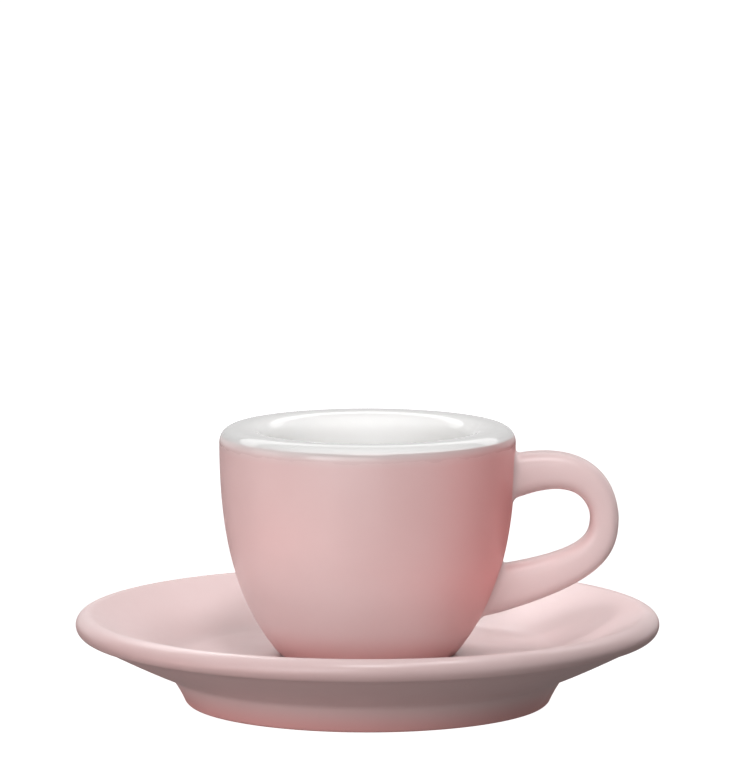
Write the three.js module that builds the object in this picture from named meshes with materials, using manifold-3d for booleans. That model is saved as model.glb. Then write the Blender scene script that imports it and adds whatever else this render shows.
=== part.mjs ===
// Espresso cup and saucer in glazed porcelain: a thick-lipped cup with a loop handle, standing in its saucer.
// Millimetres, +Z up, +X towards the handle. The origin is on the saucer's axis, at the bottom of its foot.
import * as THREE from "three";
import { mergeVertices } from "three/addons/utils/BufferGeometryUtils.js";
import Module from "manifold-3d";

// Saucer: rim bead, sloping dish, flat well and flared foot
const SAUCER_RADIUS = 60;
const RIM_HEIGHT = 18.65;
const BEAD_WIDTH = 5;
const BEAD_THICKNESS = 4.7;
const DISH_SLOPE_DEG = 26;
const WELL_HEIGHT = 9.8;
const WELL_BLEND_RADIUS = 10;
const UNDERSIDE_SAG = 0.5;
const SAUCER_FOOT_RADIUS = 36.3;
const SAUCER_FOOT_EDGE = 1.5;
const SAUCER_FOOT_WIDTH = 3;
const SAUCER_FOOT_HEIGHT = 6.2;
const SAUCER_FOOT_FLARE = 4.8;
const SAUCER_FOOT_HOLLOW = 0.6;
const SAUCER_FOOT_SIDE_DEG = -25;
const SAUCER_RECESS_HEIGHT = 4.6;

// Cup: heights are measured from the bottom of its own foot
const CUP_RADIUS = 30.4;
const CUP_HEIGHT = 47.2;
const LIP_RADIUS = 3.1;
const LIP_INNER_WIDTH = 6;
const LIP_INNER_DEPTH = 4.5;
const CUP_SIDE_PULL = 20.7;
const CUP_BASE_PULL = 12.8;
const CUP_BASE_FLARE_DEG = 38.3;
const CUP_BASE_EDGE = 3;
const CUP_FOOT_RADIUS = 16.5;
const CUP_FOOT_WIDTH = 3;
const CUP_RECESS_HEIGHT = 1.4;
const CUP_FLOOR_THICKNESS = 6;
const CUP_FLOOR_RADIUS = 8;
const CUP_INNER_SIDE_PULL = 18;
const CUP_INNER_BASE_PULL = 12.5;

// Handle: a loop in the XZ plane, thick at its two roots and slim at the bow
const HANDLE_STANDOFF = 18.2;
const HANDLE_UPPER_DROP = 10.1;
const HANDLE_LOWER_RISE = 13.5;
const HANDLE_WIDTH = 8.6;
const HANDLE_UPPER_THICKNESS = 8.7;
const HANDLE_BOW_THICKNESS = 5.9;
const HANDLE_LOWER_THICKNESS = 9.7;
const HANDLE_UPPER_TILT_DEG = 15.7;
const HANDLE_LOWER_TILT_DEG = 12.8;

// Shape of the handle's curves, as shares of the span that each one bridges
const BOW_HEIGHT_SHARE = 0.634;
const UPPER_ARM_SHARE = 0.93;
const LOWER_ARM_SHARE = 0.9;
const BOW_RISE_SHARE = 0.3;
const BOW_FALL_SHARE = 0.415;
const HANDLE_SQUARENESS = 3.4;

// Where the bends of the saucer's underside and of its foot are strongest, as shares of their length
const UNDERSIDE_SAG_SHARE = 0.285;
const FOOT_HOLLOW_SHARE = 0.69;

// Slip that fixes the handle to the bowl, and the glaze coats
const SLIP_THICKNESS = 1;
const SLIP_BEAD = 0.8;
const GLAZE = 0.5;
const BOND_GAP = 0.1;
const LINER_EDGE_DEG = 30;
const BARE_EDGE_DEG = -60;

// Fineness of the facets
const RADIAL_STEPS = 40;
const WALL_STEPS = 8;
const ROUND_STEPS = 3;
const EDGE_STEPS = 2;
const LIP_STEPS = 4;
const HANDLE_STEPS = 11;
const HANDLE_SIDES = 16;

const COAT_DEPTH = GLAZE + BOND_GAP;
const EDGE_GAP_DEG = THREE.MathUtils.radToDeg(BOND_GAP / LIP_RADIUS);

const PINK_GLAZE = { color: 0xe6b6b4, roughness: 0.42, metalness: 0 };
const WHITE_GLAZE = { color: 0xf3f2f0, roughness: 0.1, metalness: 0 };
const PORCELAIN = { color: 0xebe6dd, roughness: 0.8, metalness: 0 };
const SLIP = { color: 0xe2dbd0, roughness: 0.85, metalness: 0 };

const wasm = await Module();
wasm.setup();

function point(radius, height) {
  return new THREE.Vector2(radius, height);
}

function direction(degrees) {
  const angle = THREE.MathUtils.degToRad(degrees);
  return point(Math.cos(angle), Math.sin(angle));
}

function along(start, way, distance) {
  return start.clone().addScaledVector(way, distance);
}

// Points on an ellipse about a centre, from one angle to another
function arc(centre, radiusAcross, radiusUp, fromDeg, toDeg, steps) {
  const [from, to] = [fromDeg, toDeg].map(THREE.MathUtils.degToRad);
  const curve = new THREE.EllipseCurve(centre.x, centre.y, radiusAcross, radiusUp, from, to, to < from);
  return curve.getPoints(steps);
}

function cubic(start, startPull, endPull, end, steps) {
  return new THREE.CubicBezierCurve(start, startPull, endPull, end).getPoints(steps);
}

// A stretch that bows to the left of its chord by a distance, or to the right if it is negative
function bowed(start, end, peakShare, bow, steps) {
  const chord = end.clone().sub(start);
  const left = point(-chord.y, chord.x).normalize();
  const pull = along(along(start, chord, peakShare), left, bow);
  return new THREE.QuadraticBezierCurve(start, pull, end).getPoints(steps);
}

// Joins stretches into one profile and drops the points that two of them share
function join(...stretches) {
  const shared = 1e-6;
  return stretches.flat().filter((p, i, all) => i === 0 || p.distanceTo(all[i - 1]) > shared);
}

// Moves a profile to its right-hand side, which is the outside of a profile that runs up the outer wall
function shifted(profile, distance) {
  const normals = profile.slice(1).map((p, i) => {
    const way = p.clone().sub(profile[i]).normalize();
    return point(way.y, -way.x);
  });
  return profile.map((p, i) => {
    const before = normals[Math.max(i - 1, 0)];
    const after = normals[Math.min(i, normals.length - 1)];
    const mitre = before.clone().add(after).divideScalar(1 + before.dot(after));
    return along(p, mitre, distance);
  });
}

// A coat that lies inside a profile: out along the profile and back along its shifted copy.
// An edge that meets another coat is cut square to the surface, along the way given for that end.
function coatProfile(profile, startWay, endWay) {
  const inner = shifted(profile, -GLAZE);
  if (startWay) inner[0] = along(profile[0], startWay, -GLAZE);
  if (endWay) inner[inner.length - 1] = along(profile.at(-1), endWay, -GLAZE);
  const back = inner.reverse();
  const endsOnAxis = profile.at(-1).x === 0;
  return endsOnAxis ? [...back, ...profile] : [...back, ...profile, back[0].clone()];
}

function lathe(profile) {
  return new THREE.LatheGeometry(profile, RADIAL_STEPS).rotateX(Math.PI / 2);
}

// Radius where a profile that climbs passes a height
function radiusAt(profile, height) {
  const next = profile.findIndex((p) => p.y >= height);
  const [low, high] = [profile[next - 1], profile[next]];
  return THREE.MathUtils.mapLinear(height, low.y, high.y, low.x, high.x);
}

// A closed geometry as a solid, without the triangles that shrink to a line on the axis
function toSolid(geometry) {
  const bare = geometry.clone();
  bare.deleteAttribute("normal");
  bare.deleteAttribute("uv");
  const merged = mergeVertices(bare);
  const corners = [...merged.index.array];
  const triangles = [];
  for (let i = 0; i < corners.length; i += 3) {
    const triangle = corners.slice(i, i + 3);
    if (new Set(triangle).size === 3) triangles.push(...triangle);
  }
  const vertProperties = new Float32Array(merged.attributes.position.array);
  const triVerts = new Uint32Array(triangles);
  return new wasm.Manifold(new wasm.Mesh({ numProp: 3, vertProperties, triVerts }));
}

function toGeometry(solid) {
  const { vertProperties, triVerts } = solid.getMesh();
  const geometry = new THREE.BufferGeometry();
  geometry.setAttribute("position", new THREE.BufferAttribute(vertProperties, 3));
  geometry.setIndex(new THREE.BufferAttribute(triVerts, 1));
  geometry.computeVertexNormals();
  return geometry;
}

// Saucer's glazed surface, from the bare edge of the foot, over the rim, to the middle of the well
function saucerSkin() {
  const footCentre = point(SAUCER_FOOT_RADIUS, SAUCER_FOOT_EDGE);
  const footRound = SAUCER_FOOT_EDGE;
  const footEdge = arc(footCentre, footRound, footRound, BARE_EDGE_DEG, SAUCER_FOOT_SIDE_DEG, EDGE_STEPS);
  const footTop = point(SAUCER_FOOT_RADIUS + SAUCER_FOOT_FLARE, SAUCER_FOOT_HEIGHT);
  const footSide = bowed(footEdge.at(-1), footTop, FOOT_HOLLOW_SHARE, SAUCER_FOOT_HOLLOW, ROUND_STEPS);

  const beadAcross = BEAD_WIDTH / 2;
  const beadUp = BEAD_THICKNESS / 2;
  const bead = point(SAUCER_RADIUS - beadAcross, RIM_HEIGHT - beadUp);
  const slope = Math.tan(THREE.MathUtils.degToRad(DISH_SLOPE_DEG));
  const slopeStartDeg = 90 + THREE.MathUtils.radToDeg(Math.atan((slope * beadAcross) / beadUp));
  const beadBelow = arc(bead, beadAcross, beadUp, -90, 0, ROUND_STEPS);
  const beadAbove = arc(bead, beadAcross, beadUp, 0, 90, ROUND_STEPS);
  const beadInside = arc(bead, beadAcross, beadUp, 90, slopeStartDeg, EDGE_STEPS);
  const underside = bowed(footTop, beadBelow[0], UNDERSIDE_SAG_SHARE, -UNDERSIDE_SAG, ROUND_STEPS);

  const slopeTop = beadInside.at(-1);
  const slopeFoot = slopeTop.x - (slopeTop.y - WELL_HEIGHT) / slope;
  const blendLength = WELL_BLEND_RADIUS * Math.tan(THREE.MathUtils.degToRad(DISH_SLOPE_DEG / 2));
  const blendCentre = point(slopeFoot - blendLength, WELL_HEIGHT + WELL_BLEND_RADIUS);
  const blend = arc(blendCentre, WELL_BLEND_RADIUS, WELL_BLEND_RADIUS, DISH_SLOPE_DEG - 90, -90, ROUND_STEPS);
  const middle = [point(0, WELL_HEIGHT)];
  return join(footEdge, footSide, underside, beadBelow, beadAbove, beadInside, blend, middle);
}

// Saucer's porcelain: the recess and foot below, then the surface under the glaze
function saucerBody(skin) {
  const footInner = SAUCER_FOOT_RADIUS - SAUCER_FOOT_WIDTH;
  const recessEdge = footInner - SAUCER_FOOT_EDGE;
  const below = [
    point(0, SAUCER_RECESS_HEIGHT),
    point(recessEdge, SAUCER_RECESS_HEIGHT),
    point(footInner, 0),
    point(SAUCER_FOOT_RADIUS, 0),
  ];
  return [...below, ...shifted(skin, -COAT_DEPTH)];
}

// Bowl's outside, from the bare edge of the foot up to the lip's shoulder at an angle above its middle
function cupOutside(shoulderDeg) {
  const footCentre = point(CUP_FOOT_RADIUS, CUP_BASE_EDGE);
  const edge = arc(footCentre, CUP_BASE_EDGE, CUP_BASE_EDGE, BARE_EDGE_DEG, -CUP_BASE_FLARE_DEG, EDGE_STEPS);
  const base = edge.at(-1);
  const basePull = along(base, direction(90 - CUP_BASE_FLARE_DEG), CUP_BASE_PULL);
  const top = point(CUP_RADIUS, CUP_HEIGHT - LIP_RADIUS);
  const topPull = along(top, direction(-90), CUP_SIDE_PULL);
  return join(edge, cubic(base, basePull, topPull, top, WALL_STEPS), lipRound(0, shoulderDeg));
}

function lipRound(fromDeg, toDeg) {
  const centre = point(CUP_RADIUS - LIP_RADIUS, CUP_HEIGHT - LIP_RADIUS);
  const steps = Math.ceil((toDeg - fromDeg) / LINER_EDGE_DEG);
  return arc(centre, LIP_RADIUS, LIP_RADIUS, fromDeg, toDeg, steps);
}

// Bowl's white surface, from the lip's shoulder over the crest and down to the middle of the floor
function cupInside(shoulderDeg) {
  const lipCentre = point(CUP_RADIUS - LIP_RADIUS, CUP_HEIGHT - LIP_INNER_DEPTH);
  const lip = arc(lipCentre, LIP_INNER_WIDTH, LIP_INNER_DEPTH, 90, 180, LIP_STEPS);
  const top = lip.at(-1);
  const topPull = along(top, direction(-90), CUP_INNER_SIDE_PULL);
  const floor = point(CUP_FLOOR_RADIUS, CUP_FLOOR_THICKNESS);
  const floorPull = along(floor, direction(0), CUP_INNER_BASE_PULL);
  const wall = cubic(top, topPull, floorPull, floor, WALL_STEPS);
  return join(lipRound(shoulderDeg, 90), lip, wall, [point(0, CUP_FLOOR_THICKNESS)]);
}

// Bowl's porcelain: the recess and foot below, then the surface under both coats
function cupBody() {
  const footInner = CUP_FOOT_RADIUS - CUP_FOOT_WIDTH;
  const below = [
    point(0, CUP_RECESS_HEIGHT),
    point(footInner - CUP_RECESS_HEIGHT, CUP_RECESS_HEIGHT),
    point(footInner, 0),
    point(CUP_FOOT_RADIUS, 0),
  ];
  const skin = join(cupOutside(LINER_EDGE_DEG), cupInside(LINER_EDGE_DEG));
  return [...below, ...shifted(skin, -COAT_DEPTH)];
}

// The whole bowl as a filled block, its side moved out or in, for fitting the handle against it
function bowlBlock(growth) {
  const side = shifted(cupOutside(90), growth);
  return toSolid(lathe([point(0, side[0].y), ...side, point(0, side.at(-1).y)]));
}

// Middle line of the handle with its thickness, from inside the wall at one root to inside it at the other
function handleStations() {
  const outside = cupOutside(0);
  const upperHeight = CUP_HEIGHT - HANDLE_UPPER_DROP;
  const upper = point(radiusAt(outside, upperHeight), upperHeight);
  const lower = point(radiusAt(outside, HANDLE_LOWER_RISE), HANDLE_LOWER_RISE);
  const bowHeight = THREE.MathUtils.lerp(lower.y, upper.y, BOW_HEIGHT_SHARE);
  const bow = point(CUP_RADIUS + HANDLE_STANDOFF, bowHeight);
  const upperWay = direction(HANDLE_UPPER_TILT_DEG);
  const lowerWay = direction(HANDLE_LOWER_TILT_DEG);
  const rootDepth = Math.max(HANDLE_UPPER_THICKNESS, HANDLE_LOWER_THICKNESS);

  const upperPull = along(upper, upperWay, UPPER_ARM_SHARE * (bow.x - upper.x));
  const bowRise = along(bow, direction(90), BOW_RISE_SHARE * (upper.y - bow.y));
  const bowFall = along(bow, direction(-90), BOW_FALL_SHARE * (bow.y - lower.y));
  const lowerPull = along(lower, lowerWay, LOWER_ARM_SHARE * (bow.x - lower.x));
  const upperArm = new THREE.CubicBezierCurve(upper, upperPull, bowRise, bow).getSpacedPoints(HANDLE_STEPS);
  const lowerArm = new THREE.CubicBezierCurve(bow, bowFall, lowerPull, lower).getSpacedPoints(HANDLE_STEPS);

  const station = (centre, thickness) => ({ centre, thickness });
  const blend = (from, to) => (centre, i) => {
    return station(centre, THREE.MathUtils.lerp(from, to, i / HANDLE_STEPS));
  };
  return [
    station(along(upper, upperWay, -rootDepth), HANDLE_UPPER_THICKNESS),
    ...upperArm.map(blend(HANDLE_UPPER_THICKNESS, HANDLE_BOW_THICKNESS)),
    ...lowerArm.map(blend(HANDLE_BOW_THICKNESS, HANDLE_LOWER_THICKNESS)).slice(1),
    station(along(lower, lowerWay, -rootDepth), HANDLE_LOWER_THICKNESS),
  ];
}

// One rounded section of the handle, square to its middle line
function handleRing(stations, i, growth) {
  const { centre, thickness } = stations[i];
  const before = stations[Math.max(i - 1, 0)].centre;
  const after = stations[Math.min(i + 1, stations.length - 1)].centre;
  const way = after.clone().sub(before).normalize();
  const normal = point(-way.y, way.x);
  const round = (value) => Math.sign(value) * Math.abs(value) ** (2 / HANDLE_SQUARENESS);
  return Array.from({ length: HANDLE_SIDES }, (_, k) => {
    const angle = (2 * Math.PI * k) / HANDLE_SIDES;
    const across = along(centre, normal, round(Math.cos(angle)) * (thickness / 2 + growth));
    return new THREE.Vector3(across.x, -round(Math.sin(angle)) * (HANDLE_WIDTH / 2 + growth), across.y);
  });
}

// The handle as one tube with closed ends, its surface moved out or in
function handleTube(growth) {
  const stations = handleStations();
  const rings = stations.map((_, i) => handleRing(stations, i, growth));
  const middle = ({ centre }) => new THREE.Vector3(centre.x, 0, centre.y);
  const corners = [...rings.flat(), middle(stations[0]), middle(stations.at(-1))];
  const [startMiddle, endMiddle] = [corners.length - 2, corners.length - 1];
  const lastRing = (rings.length - 1) * HANDLE_SIDES;
  const triangles = [];
  for (let k = 0; k < HANDLE_SIDES; k++) {
    const next = (k + 1) % HANDLE_SIDES;
    triangles.push(startMiddle, next, k, endMiddle, lastRing + k, lastRing + next);
    for (let ring = 0; ring < lastRing; ring += HANDLE_SIDES) {
      const [a, b] = [ring + k, ring + next];
      const [c, d] = [b + HANDLE_SIDES, a + HANDLE_SIDES];
      triangles.push(a, b, c, a, c, d);
    }
  }
  const geometry = new THREE.BufferGeometry().setFromPoints(corners);
  geometry.setIndex(triangles);
  return toSolid(geometry);
}

// Handle's porcelain, which ends just clear of the slip
function handleBody() {
  return toGeometry(handleTube(-COAT_DEPTH).subtract(bowlBlock(SLIP_THICKNESS - GLAZE + BOND_GAP)));
}

// A pad of slip between the bowl and one end of the handle: the upper end if side is 1, the lower if it is -1
function handleJoint(side) {
  const pads = handleTube(SLIP_BEAD - COAT_DEPTH)
    .intersect(bowlBlock(SLIP_THICKNESS - GLAZE))
    .subtract(bowlBlock(-GLAZE));
  const span = 4 * CUP_RADIUS;
  const between = (CUP_HEIGHT - HANDLE_UPPER_DROP + HANDLE_LOWER_RISE) / 2;
  const half = new THREE.BoxGeometry(span, span, span).translate(0, 0, between + (side * span) / 2);
  return toGeometry(pads.intersect(toSolid(half)));
}

// White coat over the lip and the inside
function cupLinerGlaze() {
  return lathe(coatProfile(cupInside(LINER_EDGE_DEG), direction(LINER_EDGE_DEG)));
}

// Pink coat in one skin over the bowl's side, the slip and the handle
function cupOuterGlaze() {
  const edgeDeg = LINER_EDGE_DEG - EDGE_GAP_DEG;
  const onBowl = toSolid(lathe(coatProfile(cupOutside(edgeDeg), null, direction(edgeDeg))));
  const overSlip = handleTube(SLIP_BEAD).intersect(bowlBlock(SLIP_THICKNESS + BOND_GAP));
  const onHandle = handleTube(0).add(overSlip).subtract(bowlBlock(-GLAZE / 2));
  const slipSpace = handleTube(SLIP_BEAD - GLAZE).intersect(bowlBlock(SLIP_THICKNESS + BOND_GAP - GLAZE));
  return toGeometry(onBowl.add(onHandle).subtract(handleTube(-GLAZE)).subtract(slipSpace));
}

function piece(name, geometry, finish) {
  const mesh = new THREE.Mesh(geometry, new THREE.MeshStandardMaterial(finish));
  mesh.name = name;
  return mesh;
}

function saucer() {
  const skin = saucerSkin();
  const group = new THREE.Group();
  group.add(piece("saucer_dish", lathe(saucerBody(skin)), PORCELAIN));
  group.add(piece("saucer_glaze", lathe(coatProfile(skin)), PINK_GLAZE));
  return group;
}

function cup() {
  const group = new THREE.Group();
  group.add(piece("cup_bowl", lathe(cupBody()), PORCELAIN));
  group.add(piece("cup_handle", handleBody(), PORCELAIN));
  group.add(piece("upper_handle_joint", handleJoint(1), SLIP));
  group.add(piece("lower_handle_joint", handleJoint(-1), SLIP));
  group.add(piece("cup_liner_glaze", cupLinerGlaze(), WHITE_GLAZE));
  group.add(piece("cup_outer_glaze", cupOuterGlaze(), PINK_GLAZE));
  group.position.z = WELL_HEIGHT;
  return group;
}

const espressoSet = new THREE.Group();
espressoSet.add(saucer(), cup());

export default espressoSet;
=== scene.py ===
"""Espresso cup and saucer in glazed porcelain: satin pink outside, glossy white inside and over the lip.

Metres, +Z up, +X towards the handle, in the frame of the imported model. The cup's pieces ride on the body
"cup" and the saucer's on the body "saucer".
"""

import math

import bpy
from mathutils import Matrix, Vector


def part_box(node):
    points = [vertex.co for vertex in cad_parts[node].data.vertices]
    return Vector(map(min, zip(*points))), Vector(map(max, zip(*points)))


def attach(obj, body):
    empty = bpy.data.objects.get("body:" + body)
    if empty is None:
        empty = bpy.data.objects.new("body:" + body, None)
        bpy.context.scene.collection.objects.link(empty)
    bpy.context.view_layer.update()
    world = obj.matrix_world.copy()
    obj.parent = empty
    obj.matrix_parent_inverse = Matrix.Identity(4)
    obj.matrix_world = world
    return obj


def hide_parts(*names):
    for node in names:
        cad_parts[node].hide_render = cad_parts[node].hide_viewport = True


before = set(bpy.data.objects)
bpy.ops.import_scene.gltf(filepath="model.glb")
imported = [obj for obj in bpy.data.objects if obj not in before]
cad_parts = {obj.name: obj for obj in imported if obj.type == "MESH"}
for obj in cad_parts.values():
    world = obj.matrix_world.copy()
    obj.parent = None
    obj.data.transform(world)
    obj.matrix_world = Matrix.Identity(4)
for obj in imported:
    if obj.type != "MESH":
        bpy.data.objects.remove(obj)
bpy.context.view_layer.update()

MM = 0.001

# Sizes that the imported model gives
SAUCER_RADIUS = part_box("saucer_glaze")[1].x
RIM_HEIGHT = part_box("saucer_glaze")[1].z
WELL_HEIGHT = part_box("cup_bowl")[0].z
CUP_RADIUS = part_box("cup_outer_glaze")[1].y
CUP_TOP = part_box("cup_liner_glaze")[1].z
HANDLE_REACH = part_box("cup_outer_glaze")[1].x

# Saucer: rim bead, sloping dish, flat well and flared foot
BEAD_WIDTH = 5 * MM
BEAD_THICKNESS = 4.7 * MM
DISH_SLOPE_DEG = 26
WELL_BLEND_RADIUS = 10 * MM
UNDERSIDE_SAG = 0.5 * MM
UNDERSIDE_SAG_SHARE = 0.285
SAUCER_FOOT_RADIUS = 36.3 * MM
SAUCER_FOOT_EDGE = 1.5 * MM
SAUCER_FOOT_WIDTH = 3 * MM
SAUCER_FOOT_HEIGHT = 6.2 * MM
SAUCER_FOOT_FLARE = 4.8 * MM
SAUCER_FOOT_HOLLOW = 0.6 * MM
FOOT_HOLLOW_SHARE = 0.69
SAUCER_FOOT_SIDE_DEG = -25
SAUCER_RECESS_HEIGHT = 4.6 * MM

# Cup: heights are measured from the well that it stands in
CUP_HEIGHT = CUP_TOP - WELL_HEIGHT
LIP_RADIUS = 3.1 * MM
LIP_INNER_WIDTH = 6 * MM
LIP_INNER_DEPTH = 4.5 * MM
LIP_SQUARENESS = 3
CUP_SIDE_PULL = 20.7 * MM
CUP_BASE_PULL = 12.8 * MM
CUP_BASE_FLARE_DEG = 38.3
CUP_BASE_EDGE = 3 * MM
CUP_FOOT_RADIUS = 16.5 * MM
CUP_FOOT_WIDTH = 3 * MM
CUP_RECESS_HEIGHT = 1.4 * MM
CUP_FLOOR_THICKNESS = 6 * MM
CUP_FLOOR_RADIUS = 8 * MM
CUP_INNER_SIDE_PULL = 18 * MM
CUP_INNER_BASE_PULL = 12.5 * MM

# Handle: a loop in the XZ plane, thick at its two roots and slim at the bow
HANDLE_UPPER_DROP = 10.1 * MM
HANDLE_LOWER_RISE = 13.5 * MM
HANDLE_WIDTH = 8.6 * MM
HANDLE_UPPER_THICKNESS = 8.7 * MM
HANDLE_BOW_THICKNESS = 5.9 * MM
HANDLE_LOWER_THICKNESS = 9.7 * MM
HANDLE_UPPER_TILT_DEG = 15.7
HANDLE_LOWER_TILT_DEG = 12.8
BOW_HEIGHT_SHARE = 0.634
UPPER_ARM_SHARE = 0.93
LOWER_ARM_SHARE = 0.9
BOW_RISE_SHARE = 0.3
BOW_FALL_SHARE = 0.415
BOW_EASE = 0.15
HANDLE_SQUARENESS = 3.4

# Glaze coats: how thick they are, where they meet and blend, where painted shade darkens them, and how far
# they sink under a root
GLAZE = 0.5 * MM
BOND_GAP = 0.1 * MM
LINER_EDGE_DEG = 30
BARE_EDGE_DEG = -60
FADE_ABOVE = 1.1 * MM
FADE_BELOW = 3.0 * MM
# Painted shade on the white lip: full up to the first angle round the lip, gone by the second
LIP_SHADE_START_DEG = 100
LIP_SHADE_END_DEG = 180
# Painted shade and pink bounce: darker, redder pink up to these heights above each foot, and down the cup's
# side about the handle
SAUCER_SHADE_HEIGHT = 6 * MM
CUP_SHADE_HEIGHT = 9 * MM
HANDLE_SHADE_DEG = 72
HANDLE_SHADE_HIGH_SHARE = 0.5
HANDLE_SHADE_LOW_SHARE = 1.0
HANDLE_SHADE_FALL = 0.7
ROOT_SINK = 0.25 * MM

# Softening of the creases that the coats flow into
CREASE_RUN = 1.2 * MM
FOOT_INNER_RUN = 0.5 * MM
ROOT_RUN = 1.3 * MM

# Fineness of the meshes
SAME_PLACE = 0.0001 * MM
AROUND = 192
HIDDEN_STEP = 4
ROUND_STEPS = 24
WALL_STEPS = 40
FLAT_STEPS = 12
CREASE_STEPS = 6
HANDLE_RINGS = 90
HANDLE_SIDES = 72
DENSE_STEPS = 240
CAP_SHARES = (0.67, 0.33)
SHARP_DEG = 50


def at(radius, height):
    return Vector((radius, height))


def direction(degrees):
    angle = math.radians(degrees)
    return at(math.cos(angle), math.sin(angle))


def shares(steps):
    return [i / steps for i in range(steps + 1)]


def arc(centre, across, up, from_deg, to_deg, steps=ROUND_STEPS):
    """Points on an ellipse about a centre, from one angle to another."""
    angles = [math.radians(from_deg + (to_deg - from_deg) * t) for t in shares(steps)]
    return [centre + at(across * math.cos(a), up * math.sin(a)) for a in angles]


def bezier(pulls, steps):
    """Points on a curve with any number of pulls between its ends."""
    points = []
    for t in shares(steps):
        row = pulls
        while len(row) > 1:
            row = [a.lerp(b, t) for a, b in zip(row, row[1:])]
        points.append(row[0].copy())
    return points


def bowed(start, end, peak_share, bow, steps=WALL_STEPS):
    """A stretch that bows to the left of its chord by a distance, or to the right if it is negative."""
    chord = end - start
    left = at(-chord.y, chord.x).normalized()
    return bezier([start, start + chord * peak_share + left * bow, end], steps)


def join(*stretches):
    """One profile from several stretches, without the points that two of them share."""
    points = []
    for p in (p for stretch in stretches for p in stretch):
        if not points or (p - points[-1]).length > SAME_PLACE:
            points.append(p)
    return points


def coarse(profile):
    """Fewer points, for a surface that a coat hides."""
    return [*profile[:-1:HIDDEN_STEP], profile[-1]]


def lengths_along(points):
    """Distance of each point from the first, along the line through them."""
    total = [0.0]
    for a, b in zip(points, points[1:]):
        total.append(total[-1] + (b - a).length)
    return total


def point_at(points, lengths, distance):
    """The point a distance along a line, past its ends in the direction of its end segments."""
    i = 1
    while i < len(points) - 1 and lengths[i] < distance:
        i += 1
    return points[i - 1].lerp(points[i], (distance - lengths[i - 1]) / (lengths[i] - lengths[i - 1]))


def spaced(points, steps, start=0.0, end=None):
    """Evenly spaced points along a line, between two distances."""
    lengths = lengths_along(points)
    end = lengths[-1] if end is None else end
    return [point_at(points, lengths, start + (end - start) * t) for t in shares(steps)]


def softened(first, second, run):
    """Two stretches that meet in a crease, joined with a round that starts a distance before it."""
    lengths, corner = lengths_along(first), first[-1]
    kept_first = [p for p, d in zip(first, lengths) if d < lengths[-1] - run]
    lengths_second = lengths_along(second)
    kept_second = [p for p, d in zip(second, lengths_second) if d > run]
    start = point_at(first, lengths, lengths[-1] - run)
    end = point_at(second, lengths_second, run)
    return join(kept_first, bezier([start, corner, end], CREASE_STEPS), kept_second)


def shifted(profile, distance):
    """A profile moved to its right-hand side, the outside of a profile that runs up the outer wall."""
    ways = [(b - a).normalized() for a, b in zip(profile, profile[1:])]
    normals = [at(way.y, -way.x) for way in ways]
    moved = []
    for i, p in enumerate(profile):
        before, after = normals[max(i - 1, 0)], normals[min(i, len(normals) - 1)]
        moved.append(p + (before + after) * (distance / (1 + before.dot(after))))
    return moved


def rounded_end(outer, inner):
    """The round edge of a coat, from the end of its inner face to the start of its outer face."""
    centre = (outer + inner) / 2
    angle = math.degrees(math.atan2(inner.y - centre.y, inner.x - centre.x))
    radius = (outer - centre).length
    return arc(centre, radius, radius, angle, angle + 180, CREASE_STEPS)


def coat(profile, edge_way=None):
    """A closed coat that lies inside a profile. Its foot edge is round; an edge_way cuts an edge square."""
    inner = coarse(shifted(profile, -GLAZE))
    on_axis = profile[-1].x < SAME_PLACE
    if on_axis:
        inner[-1].x = 0
    if edge_way is not None and on_axis:
        inner[0] = profile[0] - edge_way * GLAZE
        return join(inner[::-1], profile)
    if edge_way is not None:
        inner[-1] = profile[-1] - edge_way * GLAZE
    loop = join(inner[::-1], rounded_end(profile[0], inner[0]), profile)
    return loop if on_axis else join(loop, [loop[0]])


def new_object(name, vertices, faces):
    mesh = bpy.data.meshes.new(name)
    mesh.from_pydata(vertices, [], faces)
    mesh.validate()
    mesh.polygons.foreach_set("use_smooth", [True] * len(mesh.polygons))
    mesh.set_sharp_from_angle(angle=math.radians(SHARP_DEG))
    piece = bpy.data.objects.new(name, mesh)
    bpy.context.scene.collection.objects.link(piece)
    return piece


def lathe(name, profile):
    """Turns a profile about Z. It starts and ends on the axis, or ends where it starts."""
    is_loop = (profile[0] - profile[-1]).length < SAME_PLACE
    points = profile[:-1] if is_loop else profile
    vertices, rings = [], []
    for p in points:
        count = 1 if p.x < SAME_PLACE else AROUND
        first = len(vertices)
        rings.append([first + k % count for k in range(AROUND + 1)])
        for k in range(count):
            angle = 2 * math.pi * k / AROUND
            vertices.append((p.x * math.cos(angle), p.x * math.sin(angle), p.y))
    pairs = zip(rings, rings[1:] + rings[:1]) if is_loop else zip(rings, rings[1:])
    faces = []
    for low, high in pairs:
        for k in range(AROUND):
            corners = [low[k], low[k + 1], high[k + 1], high[k]]
            faces.append(list(dict.fromkeys(corners)))
    return new_object(name, vertices, [f for f in faces if len(f) > 2])


def paint(piece, name, value_at):
    """Writes a number on each vertex, for the material to read."""
    layer = piece.data.attributes.new(name, "FLOAT", "POINT")
    layer.data.foreach_set("value", [value_at(v.co) for v in piece.data.vertices])


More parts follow.
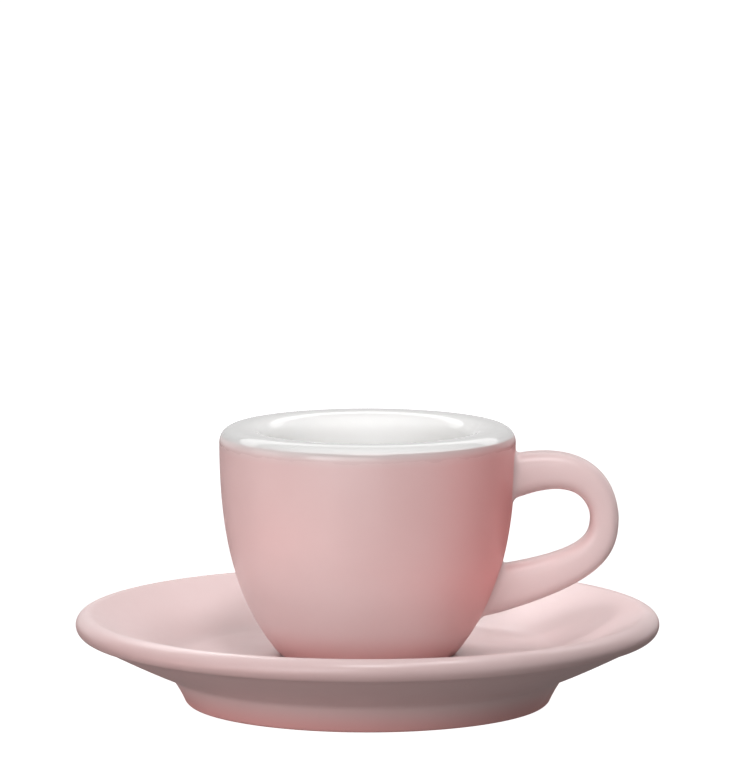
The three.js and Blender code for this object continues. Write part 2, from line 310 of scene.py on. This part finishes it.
def saucer_skin():
    """Glazed surface, from the bare edge of the foot, over the rim, to the middle of the well."""
    foot_centre = at(SAUCER_FOOT_RADIUS, SAUCER_FOOT_EDGE)
    foot_edge = arc(foot_centre, SAUCER_FOOT_EDGE, SAUCER_FOOT_EDGE, BARE_EDGE_DEG, SAUCER_FOOT_SIDE_DEG)
    foot_top = at(SAUCER_FOOT_RADIUS + SAUCER_FOOT_FLARE, SAUCER_FOOT_HEIGHT)
    foot_side = bowed(foot_edge[-1], foot_top, FOOT_HOLLOW_SHARE, SAUCER_FOOT_HOLLOW)

    across, up = BEAD_WIDTH / 2, BEAD_THICKNESS / 2
    bead = at(SAUCER_RADIUS - across, RIM_HEIGHT - up)
    slope = math.tan(math.radians(DISH_SLOPE_DEG))
    slope_start_deg = 90 + math.degrees(math.atan(slope * across / up))
    bead_below = arc(bead, across, up, -90, 0)
    bead_above = join(arc(bead, across, up, 0, 90), arc(bead, across, up, 90, slope_start_deg))
    underside = bowed(foot_top, bead_below[0], UNDERSIDE_SAG_SHARE, -UNDERSIDE_SAG)

    slope_top = bead_above[-1]
    slope_foot = slope_top.x - (slope_top.y - WELL_HEIGHT) / slope
    blend_length = WELL_BLEND_RADIUS * math.tan(math.radians(DISH_SLOPE_DEG / 2))
    blend_centre = at(slope_foot - blend_length, WELL_HEIGHT + WELL_BLEND_RADIUS)
    blend = arc(blend_centre, WELL_BLEND_RADIUS, WELL_BLEND_RADIUS, DISH_SLOPE_DEG - 90, -90)
    slope_line = spaced([slope_top, blend[0]], FLAT_STEPS)
    well = spaced([blend[-1], at(0, WELL_HEIGHT)], FLAT_STEPS)

    foot = softened(join(foot_edge, foot_side), underside, CREASE_RUN)
    return join(softened(foot, bead_below, CREASE_RUN), bead_above, slope_line, blend, well)


def foot_ring(recess_height, foot_inner, foot_outer, skin_start):
    """The recess under a piece and its bare foot ring, up to where the glaze starts."""
    recess = spaced([at(0, recess_height), at(foot_inner - recess_height, recess_height)], FLAT_STEPS)
    side = spaced([recess[-1], at(foot_inner, 0)], CREASE_STEPS)
    bearing = spaced([at(foot_inner, 0), at(foot_outer, 0)], CREASE_STEPS)
    inside = softened(softened(recess, side, FOOT_INNER_RUN), bearing, FOOT_INNER_RUN)
    return softened(inside, [bearing[-1], skin_start], FOOT_INNER_RUN / 2)


def cup_outside():
    """Bowl's outside, from the bare edge of the foot up to the side of the lip."""
    foot_centre = at(CUP_FOOT_RADIUS, CUP_BASE_EDGE)
    edge = arc(foot_centre, CUP_BASE_EDGE, CUP_BASE_EDGE, BARE_EDGE_DEG, -CUP_BASE_FLARE_DEG)
    top = at(CUP_RADIUS, CUP_HEIGHT - LIP_RADIUS)
    base_pull = edge[-1] + direction(90 - CUP_BASE_FLARE_DEG) * CUP_BASE_PULL
    wall = bezier([edge[-1], base_pull, top - at(0, CUP_SIDE_PULL), top], WALL_STEPS)
    return join(edge, wall)


def lip_outer_round(from_deg, to_deg):
    centre = at(CUP_RADIUS - LIP_RADIUS, CUP_HEIGHT - LIP_RADIUS)
    return arc(centre, LIP_RADIUS, LIP_RADIUS, from_deg, to_deg)


def squared(value, squareness):
    """A cosine or sine of a round that is flatter along its sides and tighter at its corners."""
    return math.copysign(abs(value) ** (2 / squareness), value)


def squared_arc(centre, across, up, from_deg, to_deg, steps):
    """As arc, but flatter along its sides and tighter at its corner."""
    ways = [direction(from_deg + (to_deg - from_deg) * t) for t in shares(steps)]
    places = [(squared(w.x, LIP_SQUARENESS), squared(w.y, LIP_SQUARENESS)) for w in ways]
    return [centre + at(across * x, up * y) for x, y in places]


def cup_inside():
    """Bowl's white side, over the wide inner round of the lip and down to the middle of the floor."""
    lip_centre = at(CUP_RADIUS - LIP_RADIUS, CUP_HEIGHT - LIP_INNER_DEPTH)
    lip = squared_arc(lip_centre, LIP_INNER_WIDTH, LIP_INNER_DEPTH, 90, 180, 2 * ROUND_STEPS)
    top = lip[-1]
    floor = at(CUP_FLOOR_RADIUS, CUP_FLOOR_THICKNESS)
    pulls = [top, top - at(0, CUP_INNER_SIDE_PULL), floor + at(CUP_INNER_BASE_PULL, 0), floor]
    bottom = spaced([floor, at(0, CUP_FLOOR_THICKNESS)], FLAT_STEPS)
    return join(lip_outer_round(LINER_EDGE_DEG, 90), lip, bezier(pulls, WALL_STEPS), bottom)


def raised(profile, height):
    return [p + at(0, height) for p in profile]


def smooth(value):
    """A value held between 0 and 1, with its ends eased."""
    value = min(max(value, 0.0), 1.0)
    return value * value * (3 - 2 * value)


def from_lip(place):
    """How far out and up a place is from the middle of the lip's round."""
    return math.hypot(place.x, place.y) - CUP_RADIUS + LIP_RADIUS, place.z - CUP_TOP + LIP_RADIUS


def pink_share(place):
    """How much of the pink glaze shows: all of it down the side, none over the lip and inside."""
    out, up = from_lip(place)
    around_lip = up if up < 0 else math.atan2(up, out) * LIP_RADIUS
    past_border = around_lip - math.radians(LINER_EDGE_DEG) * LIP_RADIUS
    return smooth((FADE_ABOVE - past_border) / (FADE_ABOVE + FADE_BELOW))


def lip_shade_share(place):
    """Share of painted shade on the white glaze: full over the lip's top and outer side, fading out down
    its inner round.
    """
    out, up = from_lip(place)
    around_lip = math.degrees(math.atan2(max(up, 0.0), out))
    return smooth((LIP_SHADE_END_DEG - around_lip) / (LIP_SHADE_END_DEG - LIP_SHADE_START_DEG))


def painted_shade_share(place, foot_height, reach):
    """Share of painted shade, a darker and redder pink at a foot, fading out at a reach above it."""
    return smooth((foot_height + reach - place.z) / reach)


def cup_painted_shade_share(place):
    """Painted shade and pink bounce: darker, redder pink at the cup's foot and down its side about the
    handle.
    """
    from_handle_deg = math.degrees(abs(math.atan2(place.y, place.x)))
    low = smooth((CUP_TOP - place.z) / (CUP_HEIGHT * HANDLE_SHADE_FALL))
    most = HANDLE_SHADE_HIGH_SHARE + (HANDLE_SHADE_LOW_SHARE - HANDLE_SHADE_HIGH_SHARE) * low
    handle_shade = most * smooth((HANDLE_SHADE_DEG - from_handle_deg) / HANDLE_SHADE_DEG)
    return max(handle_shade, painted_shade_share(place, WELL_HEIGHT, CUP_SHADE_HEIGHT))


def radius_at(profile, height):
    """Radius where a profile that climbs passes a height."""
    for low, high in zip(profile, profile[1:]):
        if high.y >= height:
            return low.x + (high.x - low.x) * (height - low.y) / (high.y - low.y)
    return profile[-1].x


def handle_line(wall):
    """Middle line of the handle and its thickness, from inside the bowl at one root to the other."""
    upper_height = CUP_TOP - HANDLE_UPPER_DROP
    lower_height = WELL_HEIGHT + HANDLE_LOWER_RISE
    upper = at(radius_at(wall, upper_height), upper_height)
    lower = at(radius_at(wall, lower_height), lower_height)
    bow_height = lower_height + (upper_height - lower_height) * BOW_HEIGHT_SHARE
    bow = at(HANDLE_REACH - HANDLE_BOW_THICKNESS / 2, bow_height)
    upper_way, lower_way = direction(HANDLE_UPPER_TILT_DEG), direction(HANDLE_LOWER_TILT_DEG)

    upper_pull = upper + upper_way * UPPER_ARM_SHARE * (bow.x - upper.x)
    bow_rise = bow + at(0, BOW_RISE_SHARE * (upper.y - bow.y))
    bow_fall = bow - at(0, BOW_FALL_SHARE * (bow.y - lower.y))
    lower_pull = lower + lower_way * LOWER_ARM_SHARE * (bow.x - lower.x)
    upper_arm = spaced(bezier([upper, upper_pull, bow_rise, bow], DENSE_STEPS), HANDLE_RINGS)
    lower_arm = spaced(bezier([bow, bow_fall, lower_pull, lower], DENSE_STEPS), HANDLE_RINGS)

    def swelling(root_thickness):
        full = math.hypot(1, BOW_EASE) - BOW_EASE
        eased = [(math.hypot(t, BOW_EASE) - BOW_EASE) / full for t in shares(HANDLE_RINGS)]
        return [HANDLE_BOW_THICKNESS + (root_thickness - HANDLE_BOW_THICKNESS) * e for e in eased]

    depth = HANDLE_LOWER_THICKNESS
    line = [upper - upper_way * depth, *upper_arm, *lower_arm[1:], lower - lower_way * depth]
    upper_swell, lower_swell = swelling(HANDLE_UPPER_THICKNESS)[::-1], swelling(HANDLE_LOWER_THICKNESS)
    thickness = [HANDLE_UPPER_THICKNESS, *upper_swell, *lower_swell[1:], HANDLE_LOWER_THICKNESS]
    return line, thickness


def section(k):
    """Place on the handle's rounded section, as shares of half its thickness and half its width."""
    angle = 2 * math.pi * k / HANDLE_SIDES
    return squared(math.cos(angle), HANDLE_SQUARENESS), -squared(math.sin(angle), HANDLE_SQUARENESS)


def handle_strands(wall):
    """Lines that run along the handle's surface, one for each place on its section."""
    line, thickness = handle_line(wall)
    strands = [[] for _ in range(HANDLE_SIDES)]
    for i, centre in enumerate(line):
        way = (line[min(i + 1, len(line) - 1)] - line[max(i - 1, 0)]).normalized()
        normal = at(-way.y, way.x)
        for k, strand in enumerate(strands):
            up, across = section(k)
            place = centre + normal * (up * thickness[i] / 2)
            strand.append(Vector((place.x, across * HANDLE_WIDTH / 2, place.y)))
    return strands


def on_wall(wall, place, depth=0.0):
    """The nearest place on the bowl's side at the same height, or a depth below its surface."""
    scale = (radius_at(wall, place.z) - depth) / math.hypot(place.x, place.y)
    return Vector((place.x * scale, place.y * scale, place.z))


def root_crossing(wall, strand):
    """Distance along a strand where it comes out of the bowl, counted from the strand's start."""
    lengths = lengths_along(strand)
    clear = [math.hypot(p.x, p.y) - radius_at(wall, p.z) for p in strand]
    i = next(i for i, gap in enumerate(clear) if gap > 0)
    share = clear[i - 1] / (clear[i - 1] - clear[i])
    return lengths[i - 1] + (lengths[i] - lengths[i - 1]) * share


def root_fillet(wall, strand, crossing, centre):
    """From a place on the strand, round into the bowl's side, to just under its surface."""
    lengths = lengths_along(strand)
    corner = point_at(strand, lengths, crossing)
    start = point_at(strand, lengths, crossing + ROOT_RUN)
    away = (corner - centre).normalized()
    end = on_wall(wall, corner + away * ROOT_RUN)
    sunk = on_wall(wall, corner + away * (ROOT_RUN + ROOT_SINK), ROOT_SINK)
    return [*bezier([start, corner, end], CREASE_STEPS), sunk]


def handle(name, wall):
    """The loop as one closed skin whose ends flow into the bowl's side."""
    strands = handle_strands(wall)
    backward = [strand[::-1] for strand in strands]
    upper = [root_crossing(wall, s) for s in strands]
    lower = [root_crossing(wall, s) for s in backward]

    def middle(lines, crossings):
        corners = [point_at(s, lengths_along(s), c) for s, c in zip(lines, crossings)]
        return sum(corners, Vector()) / len(corners)

    upper_middle, lower_middle = middle(strands, upper), middle(backward, lower)
    lines = []
    for k, strand in enumerate(strands):
        upper_end = root_fillet(wall, strand, upper[k], upper_middle)[::-1]
        lower_end = root_fillet(wall, backward[k], lower[k], lower_middle)
        length = lengths_along(strand)[-1]
        loop = spaced(strand, 2 * HANDLE_RINGS, upper[k] + ROOT_RUN, length - lower[k] - ROOT_RUN)
        lines.append([*upper_end, *loop[1:-1], *lower_end])

    rings = [list(ring) for ring in zip(*lines)]
    for end, centre in ((0, upper_middle), (len(rings), lower_middle)):
        edge = rings[0] if end == 0 else rings[-1]
        caps = [[on_wall(wall, centre.lerp(p, s), ROOT_SINK) for p in edge] for s in CAP_SHARES]
        rings[end:end] = caps[::-1] if end == 0 else caps
    vertices = [p for ring in rings for p in ring]
    tips = [on_wall(wall, upper_middle, ROOT_SINK), on_wall(wall, lower_middle, ROOT_SINK)]
    first_tip, last_ring = len(vertices), len(vertices) - HANDLE_SIDES
    faces = []
    for k in range(HANDLE_SIDES):
        after = (k + 1) % HANDLE_SIDES
        faces.append([first_tip, after, k])
        faces.append([first_tip + 1, last_ring + k, last_ring + after])
        for ring in range(0, last_ring, HANDLE_SIDES):
            faces.append([ring + k, ring + after, ring + after + HANDLE_SIDES, ring + k + HANDLE_SIDES])
    return new_object(name, [*vertices, *tips], faces)


def new_material(name):
    material = bpy.data.materials.new(name)
    material.use_nodes = True
    tree = material.node_tree
    return material, tree, tree.nodes["Principled BSDF"]


def painted(tree, name):
    """The number that paint wrote on each vertex."""
    layer = tree.nodes.new("ShaderNodeAttribute")
    layer.attribute_name = name
    return layer.outputs["Fac"]


def noise(tree, scale, detail):
    """Noise that is fixed to the piece, with features of about one part in scale of a metre."""
    place = tree.nodes.new("ShaderNodeTexCoord")
    texture = tree.nodes.new("ShaderNodeTexNoise")
    texture.inputs["Scale"].default_value = scale
    texture.inputs["Detail"].default_value = detail
    tree.links.new(place.outputs["Object"], texture.inputs["Vector"])
    return texture.outputs["Fac"]


# Most of the noise lies between these two
NOISE_LOW = 0.3
NOISE_HIGH = 0.7


def spread(tree, value, low, high):
    """A value in the middle of its range, stretched to run from low to high."""
    node = tree.nodes.new("ShaderNodeMapRange")
    node.inputs["From Min"].default_value = NOISE_LOW
    node.inputs["From Max"].default_value = NOISE_HIGH
    node.inputs["To Min"].default_value = low
    node.inputs["To Max"].default_value = high
    tree.links.new(value, node.inputs["Value"])
    return node.outputs["Result"]


def mixed(tree, share, a, b):
    """A colour between a and b, each one a colour or another node's output."""
    node = tree.nodes.new("ShaderNodeMix")
    node.data_type = "RGBA"
    tree.links.new(share, node.inputs[0])
    for socket, colour in ((node.inputs[6], a), (node.inputs[7], b)):
        if isinstance(colour, bpy.types.NodeSocket):
            tree.links.new(colour, socket)
        else:
            socket.default_value = (*colour, 1)
    return node.outputs[2]


def bump(tree, height, depth, below=None):
    node = tree.nodes.new("ShaderNodeBump")
    node.inputs["Distance"].default_value = depth
    tree.links.new(height, node.inputs["Height"])
    if below is not None:
        tree.links.new(below, node.inputs["Normal"])
    return node.outputs["Normal"]


# Colours of the glazes and of the bare body, with the painted shade on the pink and on the white lip
PINK = (0.70, 0.54, 0.535)
PINK_DEEP = (0.69, 0.525, 0.52)
# Darker, redder pink painted as shade and pink bounce low on the pieces and about the handle
PINK_PAINTED_SHADE = (0.70, 0.375, 0.365)
WHITE = (0.88, 0.88, 0.875)
WHITE_WARM = (0.87, 0.865, 0.855)
# Grey painted over the white lip as shade
WHITE_PAINTED_SHADE = (0.65, 0.65, 0.645)
BISCUIT = (0.80, 0.77, 0.71)
BISCUIT_GREY = (0.66, 0.62, 0.56)

# Scales of the noise, in features to a metre, with the depths and roughnesses that it varies
POOLING_SCALE = 90
CLOUD_SCALE = 120
SHEEN_SCALE = 260
GLOSS_SCALE = 200
TOOTH_SCALE = 2600
TOOTH_DEPTH = 0.004 * MM
RIPPLE_SCALE = 70
RIPPLE_DEPTH = 0.05 * MM
WEAR_SCALE = 240
DUST_SCALE = 900
GRIT_SCALE = 3200
GRIT_DEPTH = 0.03 * MM
PINK_ROUGHNESS = (0.31, 0.36)
WHITE_ROUGHNESS = (0.05, 0.08)
BARE_ROUGHNESS = (0.75, 0.9)


def pink_colour(tree):
    """Even pink with faint pooling, made darker and redder by the painted shade share on each vertex."""
    even = mixed(tree, spread(tree, noise(tree, POOLING_SCALE, 2), 0, 1), PINK, PINK_DEEP)
    # Painted shade: darker, redder pink where the vertices carry it
    return mixed(tree, painted(tree, "painted_shade_share"), even, PINK_PAINTED_SHADE)


def pink_roughness(tree):
    return spread(tree, noise(tree, SHEEN_SCALE, 4), *PINK_ROUGHNESS)


def rippled(tree, below=None):
    """Slight unevenness of a fired coat."""
    return bump(tree, noise(tree, RIPPLE_SCALE, 1), RIPPLE_DEPTH, below)


def satin_pink(name):
    """Pink satin glaze: colour with faint pooling and painted shade, and a fine silky tooth."""
    material, tree, shader = new_material(name)
    tree.links.new(pink_colour(tree), shader.inputs["Base Color"])
    tree.links.new(pink_roughness(tree), shader.inputs["Roughness"])
    tooth = bump(tree, noise(tree, TOOTH_SCALE, 3), TOOTH_DEPTH)
    tree.links.new(rippled(tree, tooth), shader.inputs["Normal"])
    return material


def fading_glaze(name):
    """White gloss and pink satin in one coat, blended by the pink share on each vertex; the white is greyed
    by painted shade over the lip.
    """
    material, tree, shader = new_material(name)
    share = painted(tree, "pink_share")
    pink = pink_colour(tree)
    thick = mixed(tree, spread(tree, noise(tree, CLOUD_SCALE, 2), 0, 1), WHITE, WHITE_WARM)
    # Painted shade greys the white over the lip
    white = mixed(tree, painted(tree, "lip_shade_share"), thick, WHITE_PAINTED_SHADE)
    tree.links.new(mixed(tree, share, white, pink), shader.inputs["Base Color"])
    rough = tree.nodes.new("ShaderNodeMix")
    tree.links.new(share, rough.inputs[0])
    tree.links.new(spread(tree, noise(tree, GLOSS_SCALE, 2), *WHITE_ROUGHNESS), rough.inputs[2])
    tree.links.new(pink_roughness(tree), rough.inputs[3])
    tree.links.new(rough.outputs[0], shader.inputs["Roughness"])
    tree.links.new(rippled(tree), shader.inputs["Normal"])
    return material


def bare_porcelain(name):
    """Unglazed foot: matt, finely gritty and a little grey where it has worn."""
    material, tree, shader = new_material(name)
    worn = spread(tree, noise(tree, WEAR_SCALE, 6), 0, 0.5)
    tree.links.new(mixed(tree, worn, BISCUIT, BISCUIT_GREY), shader.inputs["Base Color"])
    tree.links.new(spread(tree, noise(tree, DUST_SCALE, 3), *BARE_ROUGHNESS), shader.inputs["Roughness"])
    tree.links.new(bump(tree, noise(tree, GRIT_SCALE, 5), GRIT_DEPTH), shader.inputs["Normal"])
    return material


def finish(piece, material, slot, body, *nodes):
    """Gives a piece its material, the body it rides on and the CAD nodes it stands for, which it hides. Its
    slot is not used.
    """
    piece.data.materials.append(material)
    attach(piece, body)
    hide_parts(*nodes)


pink_glaze = satin_pink("pink_glaze")
cup_glaze = fading_glaze("cup_glaze")
porcelain = bare_porcelain("porcelain")

skin = saucer_skin()
saucer_under = coarse(shifted(skin, -GLAZE - BOND_GAP))
saucer_under[-1].x = 0
saucer_foot = foot_ring(
    SAUCER_RECESS_HEIGHT, SAUCER_FOOT_RADIUS - SAUCER_FOOT_WIDTH, SAUCER_FOOT_RADIUS, saucer_under[0]
)
saucer_body = lathe("saucer_body", join(saucer_foot, saucer_under))
finish(saucer_body, porcelain, "porcelain", "saucer", "saucer_dish")
saucer_coat = lathe("saucer_coat", coat(skin))
# Painted shade: the saucer's glaze darker and redder towards its foot
paint(saucer_coat, "painted_shade_share", lambda place: painted_shade_share(place, 0, SAUCER_SHADE_HEIGHT))
finish(saucer_coat, pink_glaze, "pink_glaze", "saucer", "saucer_glaze")

side = raised(cup_outside(), WELL_HEIGHT)
shoulder = raised(lip_outer_round(0, LINER_EDGE_DEG), WELL_HEIGHT)
inside = raised(cup_inside(), WELL_HEIGHT)
cup_under = coarse(shifted(join(side, shoulder, inside), -GLAZE - BOND_GAP))
cup_under[-1].x = 0
cup_foot = foot_ring(
    CUP_RECESS_HEIGHT, CUP_FOOT_RADIUS - CUP_FOOT_WIDTH, CUP_FOOT_RADIUS, cup_under[0] - at(0, WELL_HEIGHT)
)
cup_body = lathe("cup_body", join(raised(cup_foot, WELL_HEIGHT), cup_under))
border = direction(LINER_EDGE_DEG)
outer_coat = lathe("cup_outer_coat", coat(join(side, shoulder), border))
liner = lathe("cup_liner", coat(inside, border))
paint(outer_coat, "pink_share", pink_share)
paint(liner, "pink_share", lambda place: pink_share(place) if place.z > CUP_TOP - LIP_RADIUS else 0.0)
# Painted shade greys the white over the lip
paint(outer_coat, "lip_shade_share", lip_shade_share)
# Painted shade and pink bounce: darker, redder pink low on the bowl and down its side about the handle
paint(outer_coat, "painted_shade_share", cup_painted_shade_share)
# Painted shade greys the white over the lip
paint(liner, "lip_shade_share", lip_shade_share)
finish(cup_body, porcelain, "porcelain", "cup", "cup_bowl")
finish(outer_coat, cup_glaze, "pink_glaze", "cup", "cup_outer_glaze")
finish(liner, cup_glaze, "white_glaze", "cup", "cup_liner_glaze")
loop = handle("cup_handle_loop", join(side, shoulder))
finish(loop, pink_glaze, "pink_glaze", "cup", "cup_handle", "upper_handle_joint", "lower_handle_joint")

# Camera at the photograph's viewing angle
CAMERA_PLACE = (0, -1.3401, 0.24275)
CAMERA_PITCH_DEG = 7.51
CAMERA_LENS = 310.72
SENSOR = 36

camera = bpy.data.objects.new("camera", bpy.data.cameras.new("camera"))
camera.location = CAMERA_PLACE
camera.rotation_euler = (math.radians(90 - CAMERA_PITCH_DEG), 0, 0)
camera.data.lens = CAMERA_LENS
camera.data.sensor_width = SENSOR
bpy.context.scene.collection.objects.link(camera)
bpy.context.scene.camera = camera

# Studio: lamps on a sphere about the cup, with azimuths from the camera's side towards the handle
LAMP_DISTANCE = 1.2
LAMP_TARGET = Vector((0, 0, 0.03))

# Watts per square metre of lamp at a brightness of one
LAMP_POWER = 4


def softbox(name, azimuth, elevation, wide, tall, brightness, colour=(1, 1, 1)):
    """A rectangular lamp that faces the cup. Places and sizes are angles in degrees, seen from the cup."""
    turn, rise = math.radians(azimuth), math.radians(elevation)
    way = Vector((math.sin(turn) * math.cos(rise), -math.cos(turn) * math.cos(rise), math.sin(rise)))
    lamp = bpy.data.lights.new(name, "AREA")
    lamp.shape = "RECTANGLE"
    lamp.size = 2 * LAMP_DISTANCE * math.tan(math.radians(wide / 2))
    lamp.size_y = 2 * LAMP_DISTANCE * math.tan(math.radians(tall / 2))
    lamp.energy = LAMP_POWER * brightness * lamp.size * lamp.size_y
    lamp.color = colour
    light = bpy.data.objects.new(name, lamp)
    light.location = LAMP_TARGET + way * LAMP_DISTANCE
    light.rotation_euler = (-way).to_track_quat("-Z", "Y").to_euler()
    light.visible_camera = False
    bpy.context.scene.collection.objects.link(light)
    return light


WARM = (1, 0.57, 0.54)
ROSY = (1, 0.88, 0.88)
RED = (1, 0.2, 0.2)


def only_on(light, *pieces):
    """Lets a lamp light only a few pieces."""
    seen = bpy.data.collections.new(light.name)
    for piece in pieces:
        seen.objects.link(piece)
    light.light_linking.receiver_collection = seen


def dulled(light):
    """Keeps a lamp out of the gloss, so that it only fills."""
    light.visible_glossy = False
    return light


softbox("back_wall", 180, 14, 110, 34, 0.45)
only_on(softbox("low_left", -60, -20, 70, 22, 1.25, WARM), outer_coat, loop, saucer_coat)
only_on(softbox("back_left", 212, 46, 44, 22, 3.0), outer_coat, saucer_coat)
only_on(softbox("back_right", 160, 46, 60, 22, 1.3), outer_coat, loop, saucer_coat)
only_on(softbox("front", -8, 14, 24, 24, 2.15), outer_coat, loop)
only_on(softbox("key", 3, 57, 24, 28, 3.3), outer_coat, loop)
only_on(softbox("front_left", -34, 14, 24, 24, 3.5), outer_coat, loop)
only_on(softbox("left", -85, 12, 30, 28, 1.05, ROSY), outer_coat, loop)
only_on(softbox("low_front", -12, -8, 50, 16, 1.0), outer_coat)
only_on(softbox("handle_top", 2, 64, 40, 30, 2.3), loop)
only_on(softbox("handle_front", 10, 0, 30, 24, 1.1), loop)
only_on(softbox("saucer_key", 3, 60, 9, 9, 32), saucer_coat)
only_on(softbox("saucer_top", 75, 72, 14, 14, 10.6), saucer_coat)
only_on(softbox("saucer_left", -50, 40, 30, 24, 0.3), saucer_coat)
only_on(softbox("saucer_rim", -20, 16, 26, 22, 2.5), saucer_coat)
only_on(softbox("saucer_front", -36, -1, 40, 16, 3.0), saucer_coat)
only_on(softbox("low_right", 60, -15, 60, 20, 0.24), saucer_coat)
only_on(softbox("under", 0, -50, 70, 40, 0.8), cup_body, saucer_body)
only_on(softbox("lip_back", 184, 44, 110, 22, 1.8), liner)
only_on(dulled(softbox("red_card", 76, -4, 34, 22, 2.8, RED)), outer_coat)
only_on(dulled(softbox("handle_right", 110, 18, 60, 36, 1.2)), loop)
only_on(dulled(softbox("low_back", 170, -12, 120, 18, 1.6, WARM)), outer_coat, loop, saucer_coat)
only_on(dulled(softbox("lip_front", 0, 4, 70, 14, 5.4)), liner)
only_on(dulled(softbox("lip_rear", 180, 6, 70, 14, 2.6)), liner)
only_on(dulled(softbox("cup_light", 0, 50, 60, 24, 4.45)), liner)

# Faint light from all round
world = bpy.data.worlds.new("studio")
bpy.context.scene.world = world
world.use_nodes = True
surroundings = world.node_tree.nodes["Background"]
surroundings.inputs["Color"].default_value = (1, 0.93, 0.92, 1)
surroundings.inputs["Strength"].default_value = 0.14

# White floor with a white dome over it, which only the camera sees
DOME_RADIUS = 5
backdrop = lathe("backdrop", join([at(0, 0)], arc(at(0, 0), DOME_RADIUS, DOME_RADIUS, 0, 90)))
backdrop_material, _, backdrop_shader = new_material("backdrop")
backdrop_shader.inputs["Emission Color"].default_value = (1, 1, 1, 1)
backdrop_shader.inputs["Emission Strength"].default_value = 1.0
backdrop.data.materials.append(backdrop_material)
backdrop.visible_diffuse = False
backdrop.visible_glossy = False
backdrop.visible_transmission = False
backdrop.visible_shadow = False

bpy.context.scene.view_settings.view_transform = "Standard"
